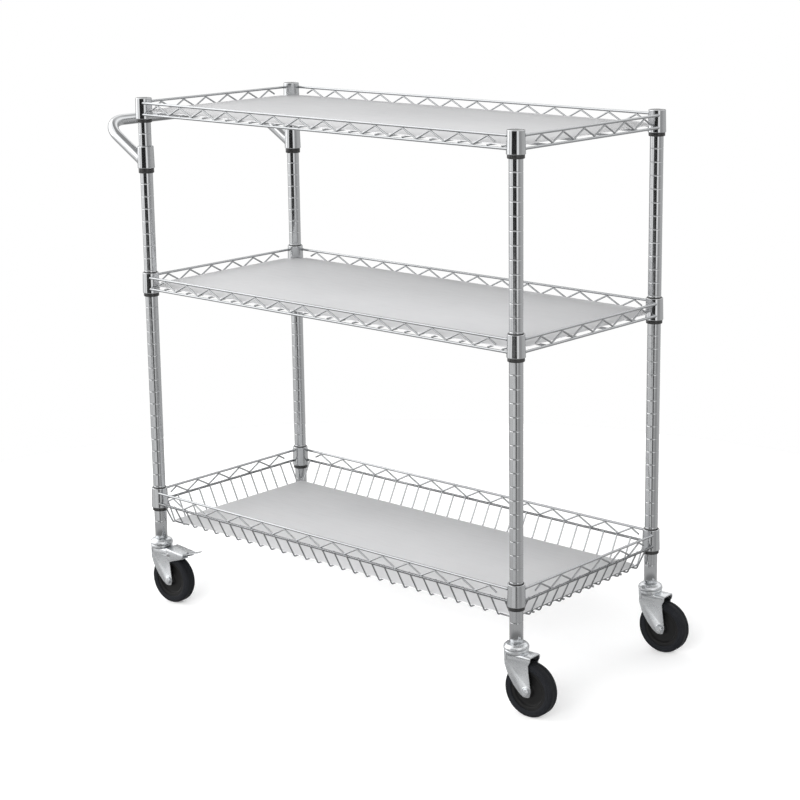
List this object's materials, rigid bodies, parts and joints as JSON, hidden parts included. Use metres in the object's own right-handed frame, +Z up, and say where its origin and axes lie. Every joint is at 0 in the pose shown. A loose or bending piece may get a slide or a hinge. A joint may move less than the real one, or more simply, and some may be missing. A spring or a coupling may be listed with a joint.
{
  "type": "rolling utility cart",
  "caption": "Chrome wire cart with flat upper shelves over a wire basket, grooved posts, a push handle and swivel casters, some with a foot brake.",
  "frame": {"origin": "centre of the cart's box, on the floor", "axes": "+Z up; +X along the cart, away from the push handle; -Y is the front long side"},
  "size_m": [1.1826, 0.4656, 1.057],
  "materials": {
    "chrome_tube": "bright plated tube",
    "chrome_wire": "bright plated wire",
    "liner": "matt light grey sheet",
    "sleeve_plastic": "moulded black",
    "zinc": "blue-white zinc plate",
    "bright_steel": "ground steel",
    "wheel_core": "moulded black",
    "tyre": "hard black rubber"
  },
  "bodies": {
    "frame": {"front_left_post": "chrome_tube", "front_right_post": "chrome_tube", "back_left_post": "chrome_tube", "back_right_post": "chrome_tube", "post_caps": "chrome_tube", "stem_sockets": "sleeve_plastic", "top_collars": "chrome_tube", "top_sleeves": "sleeve_plastic", "top_long_trusses": "chrome_wire", "top_short_trusses": "chrome_wire", "top_deck": "chrome_wire", "top_liner": "liner", "middle_collars": "chrome_tube", "middle_sleeves": "sleeve_plastic", "middle_long_trusses": "chrome_wire", "middle_short_trusses": "chrome_wire", "middle_deck": "chrome_wire", "middle_liner": "liner", "basket_collars": "chrome_tube", "basket_sleeves": "sleeve_plastic", "basket_long_trusses": "chrome_wire", "basket_short_trusses": "chrome_wire", "basket_long_sides": "chrome_wire", "basket_short_sides": "chrome_wire", "basket_deck": "chrome_wire", "basket_liner": "liner", "handle_tube": "chrome_tube", "handle_collars": "chrome_tube", "handle_sleeves": "sleeve_plastic", "caster_stems": "zinc", "caster_plates": "zinc", "caster_balls": "bright_steel"},
    "front_left_swivel": {"front_left_fork": "zinc", "front_left_axle": "zinc", "front_left_spacer": "bright_steel", "front_left_brake_pin": "zinc"},
    "front_left_wheel": {"front_left_hub": "wheel_core", "front_left_tyre": "tyre"},
    "front_left_brake_lever": {"front_left_brake": "zinc"},
    "front_right_swivel": {"front_right_fork": "zinc", "front_right_axle": "zinc", "front_right_spacer": "bright_steel"},
    "front_right_wheel": {"front_right_hub": "wheel_core", "front_right_tyre": "tyre"},
    "back_left_swivel": {"back_left_fork": "zinc", "back_left_axle": "zinc", "back_left_spacer": "bright_steel", "back_left_brake_pin": "zinc"},
    "back_left_wheel": {"back_left_hub": "wheel_core", "back_left_tyre": "tyre"},
    "back_left_brake_lever": {"back_left_brake": "zinc"},
    "back_right_swivel": {"back_right_fork": "zinc", "back_right_axle": "zinc", "back_right_spacer": "bright_steel"},
    "back_right_wheel": {"back_right_hub": "wheel_core", "back_right_tyre": "tyre"}
  },
  "joints": [
    {"name": "front_left_swivel_turn", "type": "hinge", "parent": "frame", "child": "front_left_swivel", "pos_m": [-0.45228, -0.21076, 0.12], "axis": [0, 0, 1], "continuous": true},
    {"name": "front_left_wheel_roll", "type": "hinge", "parent": "front_left_swivel", "child": "front_left_wheel", "pos_m": [-0.41996, -0.2085, 0.0508], "axis": [-0.0698, 0.9976, 0], "continuous": true},
    {"name": "front_left_brake_press", "type": "hinge", "parent": "front_left_swivel", "child": "front_left_brake_lever", "pos_m": [-0.41637, -0.20825, 0.1062], "axis": [-0.0698, 0.9976, 0], "range_deg": [0, 11.5]},
    {"name": "front_right_swivel_turn", "type": "hinge", "parent": "frame", "child": "front_right_swivel", "pos_m": [0.50772, -0.21076, 0.12], "axis": [0, 0, 1], "continuous": true},
    {"name": "front_right_wheel_roll", "type": "hinge", "parent": "front_right_swivel", "child": "front_right_wheel", "pos_m": [0.54004, -0.2085, 0.0508], "axis": [-0.0698, 0.9976, 0], "continuous": true},
    {"name": "back_left_swivel_turn", "type": "hinge", "parent": "frame", "child": "back_left_swivel", "pos_m": [-0.45228, 0.20624, 0.12], "axis": [0, 0, 1], "continuous": true},
    {"name": "back_left_wheel_roll", "type": "hinge", "parent": "back_left_swivel", "child": "back_left_wheel", "pos_m": [-0.41996, 0.2085, 0.0508], "axis": [-0.0698, 0.9976, 0], "continuous": true},
    {"name": "back_left_brake_press", "type": "hinge", "parent": "back_left_swivel", "child": "back_left_brake_lever", "pos_m": [-0.41637, 0.20875, 0.1062], "axis": [-0.0698, 0.9976, 0], "range_deg": [0, 11.5]},
    {"name": "back_right_swivel_turn", "type": "hinge", "parent": "frame", "child": "back_right_swivel", "pos_m": [0.50772, 0.20624, 0.12], "axis": [0, 0, 1], "continuous": true},
    {"name": "back_right_wheel_roll", "type": "hinge", "parent": "back_right_swivel", "child": "back_right_wheel", "pos_m": [0.54004, 0.2085, 0.0508], "axis": [-0.0698, 0.9976, 0], "continuous": true}
  ]
}
